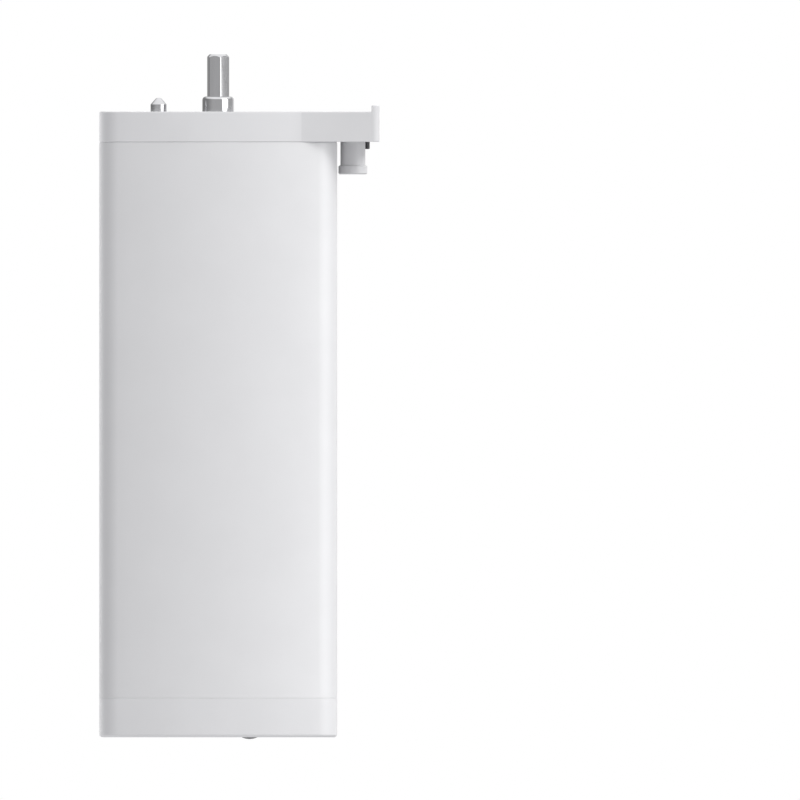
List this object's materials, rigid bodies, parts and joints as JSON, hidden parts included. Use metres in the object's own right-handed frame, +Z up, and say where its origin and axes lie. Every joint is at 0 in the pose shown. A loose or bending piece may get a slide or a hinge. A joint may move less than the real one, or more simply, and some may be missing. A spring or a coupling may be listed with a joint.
{
  "type": "curtain motor",
  "caption": "Upright curtain motor that hangs under a track: hexagonal output shaft on top, side wing with a round power inlet, geared motor and control board inside.",
  "frame": {"origin": "on the output shaft's axis, level with the top face that lies under the curtain track", "axes": "+Z up the output shaft, +X towards the wing with the power inlet, -Y the pictured front"},
  "size_m": [0.0777, 0.049, 0.1899],
  "materials": {
    "housing": "satin light grey coating",
    "cover": "fine matte moulding",
    "cap": "fine matte moulding",
    "seal": "soft grey",
    "wing_plate": "fine matte moulding",
    "screw": "zinc plated",
    "dark_pin": "dark moulding",
    "inlet": "matte light grey",
    "contact": "tinned",
    "shaft": "polished steel",
    "locating_pin": "polished steel",
    "barrel": "turned",
    "spring": "spring steel",
    "bearing": "ground steel",
    "bush": "sintered bronze",
    "gearbox": "die cast and machined",
    "carrier": "ground steel",
    "sun": "hardened steel",
    "planet": "natural acetal",
    "can": "zinc plated",
    "magnet": "ferrite",
    "end_cap": "glass filled",
    "brush": "carbon",
    "rotor_shaft": "ground steel",
    "core": "stacked sheet",
    "winding": "enamelled copper",
    "commutator": "copper",
    "damper": "soft black",
    "board": "solder mask",
    "chip": "moulded",
    "capacitor": "sleeved can",
    "choke": "ferrite",
    "radio": "tinned shield",
    "socket": "natural nylon",
    "light": "clear",
    "switch": "moulded",
    "button": "dark grey",
    "lead": "insulation"
  },
  "bodies": {
    "housing": {"bearing_outer_ring": "bearing", "board_chips": "chip", "board_sockets": "socket", "bottom_cap": "cap", "bottom_screws": "screw", "button_switch": "switch", "control_board": "board", "cover_screws": "screw", "filter_capacitors": "capacitor", "gearbox_front_plate": "gearbox", "gearbox_rear_plate": "gearbox", "gearbox_screws": "screw", "housing_tube": "housing", "inlet_contacts": "contact", "inlet_leads": "lead", "inlet_shell": "inlet", "latch_pin": "dark_pin", "motor_brushes": "brush", "motor_bushes": "bush", "motor_can": "can", "motor_damper": "damper", "motor_end_cap": "end_cap", "motor_leads": "lead", "motor_magnets": "magnet", "motor_screws": "screw", "motor_terminals": "contact", "output_bush": "bush", "plunger_barrel": "barrel", "plunger_spring": "spring", "power_choke": "choke", "radio_module": "radio", "ring_gear": "gearbox", "sensor_board": "board", "status_light": "light", "top_cover": "cover", "top_gasket": "seal", "wing_plate": "wing_plate", "wing_screws": "screw"},
    "output": {"output_shaft": "shaft", "output_carrier": "carrier", "output_pins": "carrier", "bearing_inner_ring": "bearing"},
    "ball_set": {"bearing_balls": "bearing"},
    "first_stage": {"first_carrier": "carrier", "first_pins": "carrier", "second_sun": "sun"},
    "rotor": {"rotor_shaft": "rotor_shaft", "rotor_core": "core", "rotor_windings": "winding", "commutator": "commutator", "first_sun": "sun", "sensor_magnet": "magnet"},
    "plunger": {"locating_pin": "locating_pin"},
    "button": {"set_button": "button"},
    "first_planet_1": {"first_planet_1": "planet"},
    "first_planet_2": {"first_planet_2": "planet"},
    "first_planet_3": {"first_planet_3": "planet"},
    "second_planet_1": {"second_planet_1": "planet"},
    "second_planet_2": {"second_planet_2": "planet"},
    "second_planet_3": {"second_planet_3": "planet"}
  },
  "joints": [
    {"name": "output_spin", "type": "hinge", "parent": "housing", "child": "output", "pos_m": [0, 0, 0], "axis": [0, 0, 1], "continuous": true},
    {"name": "ball_set_spin", "type": "hinge", "parent": "housing", "child": "ball_set", "pos_m": [0, 0, 0], "axis": [0, 0, 1], "continuous": true},
    {"name": "first_stage_spin", "type": "hinge", "parent": "housing", "child": "first_stage", "pos_m": [0, 0, 0], "axis": [0, 0, 1], "continuous": true},
    {"name": "rotor_spin", "type": "hinge", "parent": "housing", "child": "rotor", "pos_m": [0, 0, 0], "axis": [0, 0, 1], "continuous": true},
    {"name": "second_planet_1_spin", "type": "hinge", "parent": "output", "child": "second_planet_1", "pos_m": [0.0099, 0, 0], "axis": [0, 0, 1], "continuous": true},
    {"name": "second_planet_2_spin", "type": "hinge", "parent": "output", "child": "second_planet_2", "pos_m": [-0.00495, 0.00857, 0], "axis": [0, 0, 1], "continuous": true},
    {"name": "second_planet_3_spin", "type": "hinge", "parent": "output", "child": "second_planet_3", "pos_m": [-0.00495, -0.00857, 0], "axis": [0, 0, 1], "continuous": true},
    {"name": "first_planet_1_spin", "type": "hinge", "parent": "first_stage", "child": "first_planet_1", "pos_m": [0.0099, 0, 0], "axis": [0, 0, 1], "continuous": true},
    {"name": "first_planet_2_spin", "type": "hinge", "parent": "first_stage", "child": "first_planet_2", "pos_m": [-0.00495, 0.00857, 0], "axis": [0, 0, 1], "continuous": true},
    {"name": "first_planet_3_spin", "type": "hinge", "parent": "first_stage", "child": "first_planet_3", "pos_m": [-0.00495, -0.00857, 0], "axis": [0, 0, 1], "continuous": true},
    {"name": "locating_slide", "type": "slide", "parent": "housing", "child": "plunger", "axis": [0, 0, -1], "range_m": [0, 0.0032], "stiffness_N_per_m": 210, "springref_m": -0.002, "deforming": ["plunger_spring"]},
    {"name": "button_press", "type": "slide", "parent": "housing", "child": "button", "axis": [0, 0, 1], "range_m": [0, 0.0005], "stiffness_N_per_m": 2000, "springref_m": -0.0003}
  ],
  "couplings": [
    {"joint": "ball_set_spin", "follows": "output_spin", "ratio": 0.41667},
    {"joint": "first_stage_spin", "follows": "output_spin", "ratio": 4.8},
    {"joint": "rotor_spin", "follows": "output_spin", "ratio": 23.04},
    {"joint": "second_planet_1_spin", "follows": "output_spin", "ratio": -2.7143},
    {"joint": "second_planet_2_spin", "follows": "output_spin", "ratio": -2.7143},
    {"joint": "second_planet_3_spin", "follows": "output_spin", "ratio": -2.7143},
    {"joint": "first_planet_1_spin", "follows": "output_spin", "ratio": -13.029},
    {"joint": "first_planet_2_spin", "follows": "output_spin", "ratio": -13.029},
    {"joint": "first_planet_3_spin", "follows": "output_spin", "ratio": -13.029}
  ]
}
